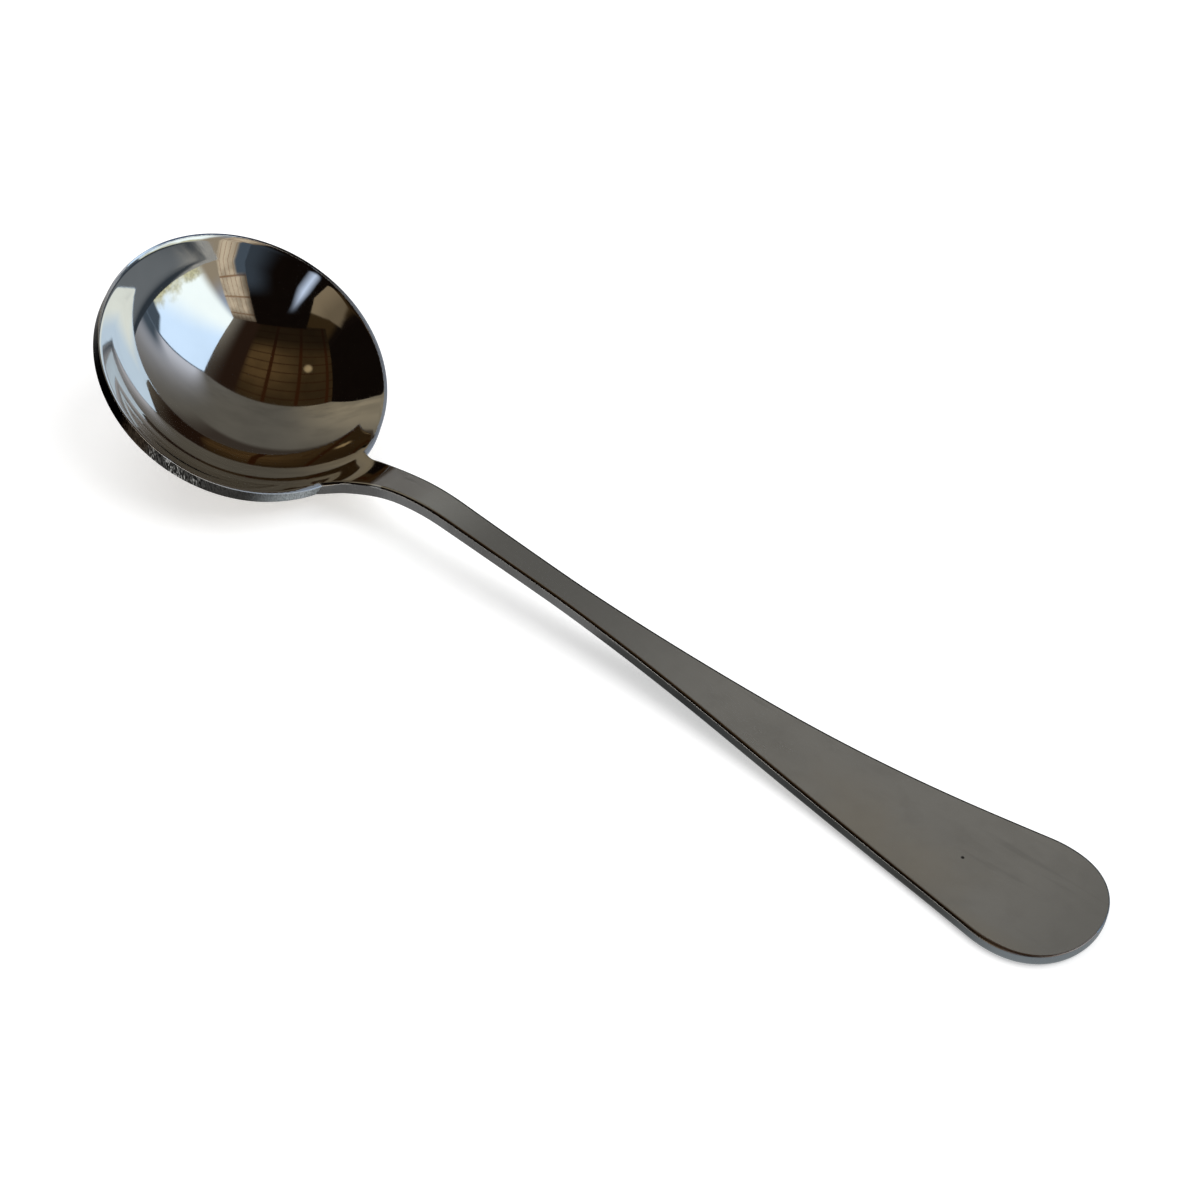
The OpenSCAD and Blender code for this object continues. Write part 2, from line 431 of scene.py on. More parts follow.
class Paint:
    """Fills the nodes of a material or a world. Values are numbers or the outputs of its nodes."""

    def __init__(self, owner):
        owner.use_nodes = True
        self.owner = owner
        self.tree = owner.node_tree
        self.tree.nodes.clear()

    def node(self, kind, inputs=None, **settings):
        return add_node(self.tree, kind, inputs, **settings)

    def maths(self, operation, first, second=0.0):
        return self.node("ShaderNodeMath", {0: first, 1: second}, operation=operation).outputs[0]

    def add(self, first, second):
        return self.maths("ADD", first, second)

    def less(self, first, second):
        return self.maths("SUBTRACT", first, second)

    def times(self, first, second):
        return self.maths("MULTIPLY", first, second)

    def most(self, first, second):
        return self.maths("MAXIMUM", first, second)

    def ramp(self, value, low, high, to_low=0.0, to_high=1.0):
        """Maps a value smoothly from one range to another, and keeps it there."""
        inputs = {"Value": value, "From Min": low, "From Max": high, "To Min": to_low, "To Max": to_high}
        return self.node("ShaderNodeMapRange", inputs, interpolation_type="SMOOTHSTEP").outputs["Result"]

    def on_lines(self, value, gap, width):
        """1 on lines of a width that repeat after a gap, 0 between them."""
        return self.maths("LESS_THAN", self.maths("PINGPONG", value, gap / 2), width / 2)

    def mix(self, factor, first, second):
        """Goes from the first colour to the second as the factor goes from 0 to 1."""
        node = self.node("ShaderNodeMix", {0: factor}, data_type="RGBA")
        for index, value in ((6, first), (7, second)):
            if isinstance(value, bpy.types.NodeSocket):
                self.tree.links.new(value, node.inputs[index])
            else:
                node.inputs[index].default_value = (*value, 1.0)
        return node.outputs[2]

    def place(self):
        return self.node("ShaderNodeTexCoord").outputs["Object"]

    def place_from(self, origin, turn):
        """Object coordinates seen from an origin, along turned axes."""
        inputs = {"Vector": self.place(), "Location": origin, "Rotation": turn}
        return self.node("ShaderNodeMapping", inputs, vector_type="TEXTURE").outputs["Vector"]

    def stretched(self, vector, scale, turn=0.0):
        """Coordinates turned about Z and stretched, for marks that run one way."""
        inputs = {"Vector": vector, "Rotation": (0.0, 0.0, turn), "Scale": scale}
        return self.node("ShaderNodeMapping", inputs).outputs["Vector"]

    def axes(self, vector):
        """X, Y and Z of a vector."""
        return tuple(self.node("ShaderNodeSeparateXYZ", {"Vector": vector}).outputs)

    def flat(self, x, y):
        """The vector of an X and a Y, with a Z of 0."""
        return self.node("ShaderNodeCombineXYZ", {"X": x, "Y": y}).outputs["Vector"]

    def distance(self, vector, point):
        node = self.node("ShaderNodeVectorMath", {0: vector, 1: point}, operation="DISTANCE")
        return node.outputs["Value"]

    def noise(self, vector, scale, detail=2.0, roughness=0.5):
        inputs = {"Vector": vector, "Scale": scale, "Detail": detail, "Roughness": roughness}
        return self.node("ShaderNodeTexNoise", inputs).outputs["Fac"]

    def cloud(self, scale):
        """Soft blotches over a card."""
        return self.noise(self.place(), scale, 3.0)

    def steel(self, colour, roughness, metal, relief, height, tint=(1.0, 1.0, 1.0, 1.0)):
        """Ends a metal material. Its relief is a bump of this height."""
        bump = self.node("ShaderNodeBump", {"Height": relief, "Distance": height, "Strength": 1.0})
        inputs = {"Base Color": colour, "Roughness": roughness, "Metallic": metal, "Specular Tint": tint,
                  "Normal": bump.outputs["Normal"]}
        shader = self.node("ShaderNodeBsdfPrincipled", inputs)
        self.node("ShaderNodeOutputMaterial", {"Surface": shader.outputs["BSDF"]})
        return self.owner


# Finishes of the steel

# Metal share of the satin finish: the rest scatters light, as its fine marks do
SATIN_METAL = 0.9
# The ground rim's gleam at a grazing angle, as its scratches dim it
GROUND_TINT = (0.35, 0.35, 0.35, 1.0)
# Stretches along X toward the handle's end over which the cut sides take a painted bluish reflection, and
# the buffed edge grows dull and takes a painted brown reflection
CUT_END = (0.066, 0.08)
BUFFED_END = (0.068, 0.079)
# Places on the handle: where fingers hold it, the middle of its warm patch, and its one pit
GRIP_X = -0.008
WARM_PATCH = (0.054, -0.0075)
PIT = (0.06537, -0.00071, 0.002)
# Width of the warm patch as a share of its length
PATCH_SHAPE = 0.6


def mouth_place(p, shape):
    """Object coordinates seen from the middle of the bowl's mouth, with Z out of it."""
    return p.place_from(shape.mouth, (0.0, shape.sizes.bowl_tilt, 0.0))


def mirror_polish(shape, colours):
    """Mirror polish of the bowl, with wiping marks and low waves. Its lip is dulled and carries a painted
    bluish reflection, the far side's outer lip border carries a painted dark reflection, and the neck is
    satin.
    """
    p = Paint(bpy.data.materials.new("mirror_polish"))
    rim_r = shape.rim_r
    place = mouth_place(p, shape)
    x, y, _ = p.axes(place)
    radius = p.distance(p.flat(x, y), (0.0, 0.0, 0.0))
    smear = p.noise(place, 110.0, 3.0)
    wipe = p.noise(p.stretched(place, (60.0, 1400.0, 60.0), 0.6), 1.0)
    cross = p.noise(p.stretched(place, (1100.0, 45.0, 60.0), 0.25), 1.0)
    marks = p.times(wipe, cross)
    # The dulled lip is widest on the far side by the handle, and its border is chipped beside the root. Its
    # bluish colour is a painted reflection, which fades out toward the tip and over the near side.
    width = p.ramp(p.add(x, y), 0.2 * rim_r, 1.2 * rim_r, 0.0002, 0.00046)
    chips = p.ramp(p.noise(place, 1500.0), 0.3, 0.7, -1.0, 1.0)
    chips = p.times(chips, p.ramp(x, 0.8 * rim_r, rim_r, 0.00002, 0.00014))
    inward = p.less(rim_r, p.add(radius, chips))
    lip = p.ramp(p.less(inward, width), -0.00006, 0.00006, 1.0, 0.0)
    beside = p.most(p.maths("LESS_THAN", x, 0.0), p.ramp(p.maths("ABSOLUTE", y), 0.0047, 0.0053))
    near = p.times(p.maths("MINIMUM", y, 0.0), 0.9)
    lip = p.times(p.times(lip, beside), p.ramp(p.add(x, near), -0.4 * rim_r, 0.2 * rim_r))
    # The lip's outer border has a painted dark reflection on the far side, away from the handle
    outer = p.times(p.ramp(inward, 0.00022, 0.00032, 1.0, 0.0), p.ramp(y, -0.002, 0.004))
    outer = p.times(outer, p.ramp(x, 0.3 * rim_r, 0.6 * rim_r, 1.0, 0.0))
    satin = p.ramp(x, rim_r + 0.0045, rim_r + 0.0055)
    colour = p.mix(p.ramp(smear, 0.35, 0.7), colours.polish, at_level(colours.polish, 0.94))
    colour = p.mix(satin, colour, colours.neck)
    # Painted dark reflection on the outer lip border
    colour = p.mix(outer, colour, colours.outer_lip_dark_reflection)
    # Painted bluish reflection on the lip
    colour = p.mix(lip, colour, colours.lip)
    roughness = p.add(p.ramp(smear, 0.35, 0.72, 0.03, 0.055), p.ramp(marks, 0.25, 0.45, 0.0, 0.03))
    dull = p.add(p.add(p.times(satin, 0.12), p.times(lip, 0.18)), p.times(outer, 0.2))
    metal = p.less(p.ramp(satin, 0.0, 1.0, 1.0, SATIN_METAL), p.times(lip, 0.35))
    # Low waves near the rim, which stop at the neck
    near_rim = p.times(p.ramp(radius, 0.75 * rim_r, rim_r, 0.1, 1.0),
                       p.ramp(x, 0.85 * rim_r, 0.97 * rim_r, 1.0, 0.05))
    wave = p.add(p.noise(place, 190.0, 1.0), p.times(p.noise(place, 650.0, 1.0), 0.12))
    relief = p.add(p.times(wave, near_rim), p.times(marks, p.ramp(satin, 0.0, 1.0, 0.15, 0.0)))
    return p.steel(colour, p.add(roughness, dull), metal, relief, 0.00001)


def ground_finish(shape, colours):
    """Ground outer face of the rim, with painted reflections: bright by the neck, then scratched, then
    dark, paler at the tip.
    """
    p = Paint(bpy.data.materials.new("ground_rim"))
    x, y, z = p.axes(mouth_place(p, shape))
    turn = p.maths("ARCTAN2", y, x)
    away = p.maths("ABSOLUTE", turn)
    lean = p.times(z, 0.45)
    rolled = p.flat(p.add(p.times(turn, shape.rim_r), lean), p.times(lean, 0.4))
    fine = p.noise(rolled, 5600.0, 2.0, 0.6)
    patch = p.noise(rolled, 700.0)
    bare = colours.rim_steel_and_sheen
    # Painted reflection tones one after another, each with the turn from the neck over which it sets in, in
    # radians
    reflected_tones = ((0.3, 0.76, colours.ground), (1.35, 1.5, colours.rim_brown_reflection),
             (1.55, 1.75, colours.dark_reflection_and_marks), (2.4, 2.9, at_level(bare, 0.3)))
    tone = bare
    for start, end, next_tone in reflected_tones:
        tone = p.mix(p.ramp(away, start, end), tone, next_tone)
    # The far side is plain
    tone = p.mix(p.ramp(y, 0.0, 0.006), tone, at_level(bare, 0.35))
    depth = p.add(p.ramp(away, 0.85, 1.1, 0.3, 0.75), p.ramp(away, 0.3, 0.6, 0.15, 0.0))
    marks = p.times(p.ramp(fine, 0.42, 0.56, 1.0, 0.0), depth)
    tone = p.mix(marks, tone, colours.dark_reflection_and_marks)
    # Painted glints on the scratches of the scratched stretch
    scratched = p.times(p.ramp(away, 0.95, 1.2), p.ramp(away, 1.36, 1.46, 1.0, 0.0))
    glint = p.times(p.ramp(fine, 0.54, 0.62), p.ramp(patch, 0.42, 0.55, 0.1, 1.0))
    colour = p.mix(p.times(glint, scratched), tone, colours.ground_glint)
    return p.steel(colour, p.ramp(fine, 0.3, 0.7, 0.26, 0.4), 1.0, fine, 0.000004, GROUND_TINT)


def cut_finish(name, light, dark, end):
    """Tumbled cut sides of the sheet, with faint marks through its thickness. Their dark colour is a
    painted dark reflection, and the paler colour round the end is a painted bluish reflection.
    """
    p = Paint(bpy.data.materials.new(name))
    place = p.place()
    mark = p.noise(p.stretched(place, (900.0, 900.0, 120.0)), 1.0, 3.0)
    # Painted dark reflection, in lighter and darker blotches
    colour = p.mix(p.ramp(p.noise(place, 140.0), 0.35, 0.7), light, dark)
    # Painted bluish reflection toward the handle's end
    colour = p.mix(p.ramp(p.axes(place)[0], *CUT_END), colour, end)
    return p.steel(colour, p.ramp(mark, 0.3, 0.7, 0.2, 0.32), 1.0, mark, 0.000003)


def edge_finishes(colours):
    """Finishes of the dark line along the top of the cut sides, and of the cut sides under it, both
    darkened by a painted dark reflection.
    """
    return (cut_finish("edge_line", colours.line_light, colours.line_dark, colours.cut_end_reflection),
            cut_finish("cut_edge", colours.edge_light, colours.edge_dark, colours.cut_end_reflection))


def buffed_finish(colours):
    """Buffed rounding along the handle's near upper edge, dull toward its end, where it takes a painted
    brown reflection.
    """
    p = Paint(bpy.data.materials.new("buffed_edge"))
    place = p.place()
    mark = p.noise(p.stretched(place, (60.0, 1200.0, 1200.0)), 1.0)
    colour = p.mix(p.ramp(mark, 0.35, 0.7), colours.polish, at_level(colours.polish, 0.92))
    # Painted brown reflection toward the end, where the edge is also rougher
    dull = p.ramp(p.axes(place)[0], *BUFFED_END)
    colour = p.mix(dull, colour, colours.dull_edge_reflection)
    roughness = p.add(p.ramp(mark, 0.3, 0.7, 0.07, 0.12), p.times(dull, 0.25))
    return p.steel(colour, roughness, 1.0, mark, 0.0000006)


def brushed_finish(colours):
    """Satin of the handle: fine lengthwise brushing, a few darker strokes, faint stains and one pit."""
    p = Paint(bpy.data.materials.new("brushed_steel"))
    place = p.place()
    x, y, _ = p.axes(place)
    brush = p.noise(p.stretched(place, (24.0, 1300.0, 1300.0)), 1.0, 3.0)
    stroke = p.noise(p.stretched(place, (50.0, 700.0, 700.0), 0.06), 1.0)
    stain = p.noise(p.stretched(place, (50.0, 120.0, 120.0), 0.2), 1.0, 3.0)
    mottle = p.noise(place, 330.0, 3.0)
    colour = p.mix(p.ramp(stain, 0.42, 0.75, 0.0, 0.8), colours.brushed, colours.stain)
    colour = p.mix(p.ramp(mottle, 0.45, 0.72, 0.0, 0.25), colour, at_level(colours.stain, 0.85))
    # The warm patch has an uneven border, and the near edge beside it is warm too
    middle = (PATCH_SHAPE * WARM_PATCH[0], WARM_PATCH[1], 0.0)
    patch = p.distance(p.flat(p.times(x, PATCH_SHAPE), y), middle)
    patch = p.add(patch, p.ramp(p.noise(place, 150.0), 0.3, 0.7, -0.002, 0.002))
    warm = p.most(p.ramp(patch, 0.001, 0.012, 0.6, 0.1), p.ramp(y, -0.006, -0.011, 0.0, 0.6))
    warm = p.times(warm, p.ramp(x, 0.01, 0.04))
    colour = p.mix(warm, colour, colours.warm_stain)
    # Darker round the grip and toward the end, and paler on the neck
    from_grip = p.maths("ABSOLUTE", p.less(x, GRIP_X))
    colour = p.mix(p.ramp(from_grip, 0.003, 0.038, 1.0, 0.0), colour, colours.handled)
    colour = p.mix(p.ramp(x, -0.034, -0.014, 1.0, 0.0), colour, colours.neck)
    colour = p.mix(p.ramp(x, 0.07, 0.087, 0.0, 0.5), colour, colours.handled)
    colour = p.mix(p.ramp(stroke, 0.6, 0.75, 0.0, 0.35), colour, at_level(colours.stain, 0.8))
    pit = p.ramp(p.distance(place, PIT), 0.00016, 0.0003, 0.9, 0.0)
    colour = p.mix(pit, colour, colours.dark_reflection_and_marks)
    roughness = p.add(p.ramp(brush, 0.3, 0.7, 0.17, 0.23), p.ramp(stain, 0.4, 0.7, 0.0, 0.05))
    return p.steel(colour, roughness, SATIN_METAL, brush, 0.0000008)


# Pieces

# Steps of the bowl's mesh round its rim, from its middle to its rim, and over the lip's two corners
RIM_STEPS = 240
WALL_STEPS = 60
MOUTH_STEPS = 3
LIP_STEPS = ROUND_STEPS - MOUTH_STEPS - 1
# The outer sixth of the inside has finer steps
FINE_FROM = 5 / 6
FINER = 3
# Where the inside's last row and the underside's first row lie, as shares of the way to the rim
INSIDE_LAST = 0.998
UNDERSIDE_FIRST = 0.995
# Shares of the wall's height from which it is worn down, and from which it is worn further
WORN_FROM = 0.86
LIP_FROM = 0.975
# Turn of the rim beyond the neck's root over which the wear sets in
WORN_ARC = 0.25
# Loops of the neck's root, and how they crowd toward the rim
ROOT_STEPS = 32
ROOT_CROWDING = 1.25
# Shares of the root's length by which it has its own width, keeps no shift, is square and is flat
WIDTH_BY, SHIFT_BY, SQUARE_BY, FLAT_BY = 0.35, 0.5, 0.65, 0.9
# Slant of the root's cut sides at the rim, as length for each depth
ROOT_SLANT = -0.95

# The bowl's materials, in order
POLISHED, GROUND, ROOT_LINE, ROOT_CUT = range(4)


class SPOON_OT_bowl(bpy.types.Operator):
    """Builds the bowl with its ground rim and the flared root of the neck"""
    bl_idname = "spoon.bowl"
    bl_label = "Bowl"

    def execute(self, context):
        colours = context.scene.spoon_steel
        self.shape = SpoonShape(context.scene.spoon_sizes)
        self.lip = self.lip_line()
        root = self.shape.root_angle
        sector = [math.asin(w * math.sin(root)) for w in ACROSS]
        rest = [root + (2 * math.pi - 2 * root) * i / RIM_STEPS for i in range(RIM_STEPS + 1)]
        circle = sector[:-1] + rest[:-1]
        bm = bmesh.new()
        self.add_inside(bm, circle)
        self.add_underside(bm, circle)
        for i in range(len(self.lip) - 1):
            rows = [[self.rim_place(point, a) for a in rest] for point in self.lip[i:i + 2]]
            finish = POLISHED if i < ROUND_STEPS - 1 else GROUND
            add_grid(bm, rows, False, lambda column: finish)
        self.add_root(bm, sector)
        close_mesh(bm)
        mesh = bpy.data.meshes.new("bowl_steel")
        bm.to_mesh(mesh)
        bm.free()
        finishes = (mirror_polish(self.shape, colours), ground_finish(self.shape, colours))
        for material in finishes + edge_finishes(colours):
            mesh.materials.append(material)
        finished_piece(mesh, "bowl_pressed", "bowl")
        return {"FINISHED"}

    def lip_line(self):
        """Section of the rim as (radius, height): over its lip, down its ground face, to the underside."""
        shape, sizes = self.shape, self.shape.sizes
        wall = Vector((shape.centre_h, shape.mouth_r)).normalized()
        inner = Vector((shape.mouth_r, 0.0))
        corner = Vector((shape.rim_r, 0.0))
        foot = Vector((shape.rim_r, -shape.face_h))
        below = Vector((shape.centre_h + shape.face_h, shape.rim_r)).normalized()
        line = fillet(inner - wall, inner, corner, sizes.mouth_round, MOUTH_STEPS)
        line += fillet(inner, corner, foot, sizes.lip_round, LIP_STEPS)
        face = fillet(corner, foot, foot - below, sizes.low_round, LOW_STEPS)
        top = line[-1]
        line += [top.lerp(face[0], t) for t in SIDE_SHARES]
        return line + face

    def rim_place(self, point, angle):
        """Place of a point of the rim's section, which climbs up the neck near its two ends."""
        shape, sizes = self.shape, self.shape.sizes
        climb_end = shape.root_angle + sizes.climb_arc
        climb = sizes.rim_climb * fade(turn_from_root(angle), shape.root_angle, climb_end)
        move = Vector((shape.centre_h, shape.mouth_r)).normalized() * climb
        from_mouth = share((point - self.lip[0]).length, 0.0, shape.rim_r - shape.mouth_r)
        worn = self.worn(1.0, angle) * (1 - from_mouth)
        move += Vector((shape.mouth_r, -shape.centre_h)) * (worn / shape.inner_r)
        return shape.rim_point(point.x + move.x, angle, point.y + move.y)

    def worn(self, up, angle):
        """Depth that buffing has taken off the wall at a share of its height, none at the root."""
        shape, sizes = self.shape, self.shape.sizes
        clear = 1 - fade(turn_from_root(angle), shape.root_angle, shape.root_angle + WORN_ARC)
        return clear * (sizes.roll_off * share(up, WORN_FROM, 1.0) ** 2
                        + sizes.lip_wear * share(up, LIP_FROM, 1.0) ** 2)

    def add_inside(self, bm, circle):
        """Polished inside of the bowl, from its middle to the lip."""
        shape = self.shape
        last = self.lip[0]
        reach = math.asin(last.x / shape.inner_r)
        coarse = round(FINE_FROM * WALL_STEPS)
        turns = [reach * i / WALL_STEPS for i in range(coarse)]
        fine_step = 1 / (FINER * WALL_STEPS)
        turns += [reach * (FINE_FROM + i * fine_step) for i in range(FINER * (WALL_STEPS - coarse))]
        turns.append(reach * INSIDE_LAST)
        rows = []
        for turn in turns:
            row = []
            for a in circle:
                ball_r = shape.inner_r + self.worn(turn / reach, a)
                height = shape.centre_h - ball_r * math.cos(turn)
                row.append(shape.rim_point(ball_r * math.sin(turn), a, height))
            rows.append(row)
        rows.append([self.rim_place(last, a) for a in circle])
        add_grid(bm, rows, True, lambda column: POLISHED)

    def add_underside(self, bm, circle):
        """Outside of the bowl, from its ground rim to its middle."""
        shape = self.shape
        first = self.lip[-1]
        reach = math.asin(first.x / shape.outer_r)
        turns = [reach * UNDERSIDE_FIRST] + [reach * (1 - i / WALL_STEPS) for i in range(1, WALL_STEPS + 1)]
        rows = [[self.rim_place(first, a) for a in circle]]
        for turn in turns:
            radius = shape.outer_r * math.sin(turn)
            height = shape.centre_h - shape.outer_r * math.cos(turn)
            rows.append([shape.rim_point(radius, a, height) for a in circle])
        add_grid(bm, rows, True, lambda column: POLISHED)

    def add_root(self, bm, sector):
        """Flared root of the neck, from the rim to the cut, and its closing face."""
        shape, sizes = self.shape, self.shape.sizes
        first, last = self.lip[0], self.lip[-1]
        root = shape.root_angle
        start = [self.rim_place(first, a) for a in sector]
        start += [self.rim_place(point, root) for point in self.lip[1:-1]]
        start += [self.rim_place(last, a) for a in reversed(sector)]
        start += [self.rim_place(point, -root) for point in reversed(self.lip[1:-1])]
        start_s = sizes.rim_climb - (Vector((shape.mouth_r, 0.0)) - first).length
        rim_half = start[len(ACROSS) - 1].y
        stations = [(k / ROOT_STEPS) ** ROOT_CROWDING for k in range(ROOT_STEPS + 1)]
        rows = [self.root_loop(start_s, part, rim_half) for part in stations]
        shift = [a - b for a, b in zip(start, rows[0])]
        for k, part in enumerate(stations):
            keep = fade(part, 0.0, SHIFT_BY)
            rows[k] = [point + move * keep for point, move in zip(rows[k], shift)]
        root_finishes = {LINE: ROOT_LINE, CUT: ROOT_CUT}
        made = add_grid(bm, rows, True, lambda column: root_finishes.get(skin_finish(column), POLISHED))
        bm.faces.new(made[-1])

    def root_loop(self, start_s, part, rim_half):
        """One loop of the root: round and slanted as the rim at its start, square across at the cut."""
        shape = self.shape
        s = start_s + (shape.cut_s - start_s) * part
        rim_share = (1 - share(part, 0.0, WIDTH_BY)) ** 2
        curl = fade(part, 0.0, FLAT_BY)
        slant = ROOT_SLANT * fade(part, 0.0, SQUARE_BY)
        points = []
        for length, across, depth in flat_section(shape, s, rim_share, rim_half):
            place, slope = shape.side_point(length + slant * depth)
            place = place - Vector((-math.sin(slope), 0.0, math.cos(slope))) * depth
            radius = (place - shape.mouth).dot(shape.along)
            sag = radius - math.sqrt(radius ** 2 - across ** 2)
            points.append(place + shape.across * across - shape.along * (sag * curl))
        return points


# Steps of the handle's mesh: metres along its shank, steps round its end, and steps of the path
SHANK_STEP = 0.0008
END_STEPS = 48
PATH_STEPS = 700
# The path runs on a little past the handle's end
PATH_REACH = 1.02


def bending_tree(finish_names):
    """Geometry nodes that bend a flat sheet along a path and give its skin its finishes."""
    tree = bpy.data.node_groups.new("bend_along_path", "GeometryNodeTree")
    sockets = [("Sheet", "INPUT", "Geometry"), ("Path", "INPUT", "Object")]
    sockets += [(name, "INPUT", "Material") for name in finish_names]
    sockets.append(("Bent sheet", "OUTPUT", "Geometry"))
    for name, in_out, kind in sockets:
        tree.interface.new_socket(name, in_out=in_out, socket_type="NodeSocket" + kind)

    def vector_maths(operation, **inputs):
        keys = {"first": 0, "second": 1, "scale": "Scale"}
        values = {keys[key]: value for key, value in inputs.items()}
        return add_node(tree, "ShaderNodeVectorMath", values, operation=operation).outputs["Vector"]

    group = add_node(tree, "NodeGroupInput").outputs
    path = add_node(tree, "GeometryNodeObjectInfo", {"Object": group["Path"]}).outputs["Geometry"]
    place = add_node(tree, "GeometryNodeInputPosition").outputs["Position"]
    axes = add_node(tree, "ShaderNodeSeparateXYZ", {"Vector": place}).outputs
    sample = add_node(tree, "GeometryNodeSampleCurve", {"Curves": path, "Length": axes["X"]},
                      mode="LENGTH").outputs
    normal = vector_maths("CROSS_PRODUCT", first=sample["Tangent"], second=(0.0, 1.0, 0.0))
    unit = vector_maths("NORMALIZE", first=normal)
    lift = vector_maths("SCALE", first=unit, scale=axes["Z"])
    across = add_node(tree, "ShaderNodeCombineXYZ", {"Y": axes["Y"]}).outputs["Vector"]
    aside = vector_maths("ADD", first=sample["Position"], second=across)
    bent = vector_maths("ADD", first=aside, second=lift)
    moved = add_node(tree, "GeometryNodeSetPosition", {"Geometry": group["Sheet"], "Position": bent})
    made = add_node(tree, "GeometryNodeRealizeInstances", {"Geometry": moved.outputs["Geometry"]})
    skin = add_node(tree, "GeometryNodeInputNamedAttribute", {"Name": "finish"}, data_type="INT")
    for index, name in enumerate(finish_names):
        same = add_node(tree, "FunctionNodeCompare", {2: skin.outputs["Attribute"], 3: index},
                        data_type="INT", operation="EQUAL")
        inputs = {"Geometry": made.outputs["Geometry"], "Selection": same.outputs["Result"],
                  "Material": group[name]}
        made = add_node(tree, "GeometryNodeSetMaterial", inputs)
    add_node(tree, "NodeGroupOutput", {"Bent sheet": made.outputs["Geometry"]})
    return tree


class SPOON_OT_handle(bpy.types.Operator):
    """Builds the handle: a flat blank with rounded edges, bent along its side line"""
    bl_idname = "spoon.handle"
    bl_label = "Handle"

    def execute(self, context):
        colours = context.scene.spoon_steel
        shape = SpoonShape(context.scene.spoon_sizes)
        blank = bpy.data.objects.new("handle_blank", self.flat_blank(shape))
        path = bpy.data.objects.new("handle_path", self.side_path(shape))
        for item in (blank, path):
            context.scene.collection.objects.link(item)
        line, cut = edge_finishes(colours)
        values = {"Face finish": brushed_finish(colours), "Buffed finish": buffed_finish(colours),
                  "Line finish": line, "Cut finish": cut}
        modifier = blank.modifiers.new("bend", "NODES")
        modifier.node_group = bending_tree(list(values))
        values["Path"] = path
        for item in modifier.node_group.interface.items_tree:
            if item.name in values:
                modifier[item.identifier] = values[item.name]
        depsgraph = context.evaluated_depsgraph_get()
        mesh = bpy.data.meshes.new_from_object(blank.evaluated_get(depsgraph), depsgraph=depsgraph)
        blank.modifiers.remove(modifier)
        bpy.data.objects.remove(blank)
        bpy.data.objects.remove(path)
        bm = bmesh.new()
        bm.from_mesh(mesh)
        close_mesh(bm)
        bm.to_mesh(mesh)
        bm.free()
        mesh.name = "handle_steel"
        finished_piece(mesh, "handle_bent", "handle")
        return {"FINISHED"}

    def flat_blank(self, shape):
        """The handle before bending: X is the length along its side line, and Z = 0 its top face."""
        cut_s, round_len = shape.cut_s, shape.sizes.round_len
        round_s = shape.end_s - round_len
        count = round((round_s - cut_s) / SHANK_STEP)
        stations = [cut_s + (round_s - cut_s) * i / count for i in range(count)]
        for i in range(END_STEPS + 1):
            stations.append(round_s + round_len * math.sin(math.pi / 2 * i / END_STEPS))
        rows = []
        for s in stations:
            rows.append([(length, across, -depth) for length, across, depth in flat_section(shape, s)])
        bm = bmesh.new()
        made = add_grid(bm, rows, True, skin_finish)
        bm.faces.new(made[0])
        marks = [face.material_index for face in bm.faces]
        mesh = bpy.data.meshes.new("handle_blank")
        bm.to_mesh(mesh)
        bm.free()
        finish = mesh.attributes.new("finish", "INT", "FACE")
        finish.data.foreach_set("value", marks)
        return mesh

    def side_path(self, shape):
        """The side line as a curve, from the rim to past the handle's end."""
        curve = bpy.data.curves.new("handle_path", "CURVE")
        curve.dimensions = "3D"
        spline = curve.splines.new("POLY")
        spline.points.add(PATH_STEPS)
        for i, point in enumerate(spline.points):
            place = shape.side_point(shape.end_s * PATH_REACH * i / PATH_STEPS)[0]
            point.co = (*place, 1.0)
        return curve


# Stage

def flat_sheet(name, corners, material):
    """A flat four-cornered sheet of the stage."""
    mesh = bpy.data.meshes.new(name)
    mesh.from_pydata([tuple(corner) for corner in corners], [], [(0, 1, 2, 3)])
    mesh.materials.append(material)
    sheet = bpy.data.objects.new(name, mesh)
    bpy.context.scene.collection.objects.link(sheet)
    return sheet


def add_card(name, corners, paint):
    """A card that only shows in the steel: the camera doesn't see it, and it casts no shadow."""
    p = Paint(bpy.data.materials.new(name))
    p.owner.cycles.emission_sampling = "NONE"
    glow = p.node("ShaderNodeEmission", {"Color": paint(p), "Strength": 1.0})
    p.node("ShaderNodeOutputMaterial", {"Surface": glow.outputs["Emission"]})
    card = flat_sheet(name, corners, p.owner)
    card.visible_camera = False
    card.visible_diffuse = False
    card.visible_shadow = False


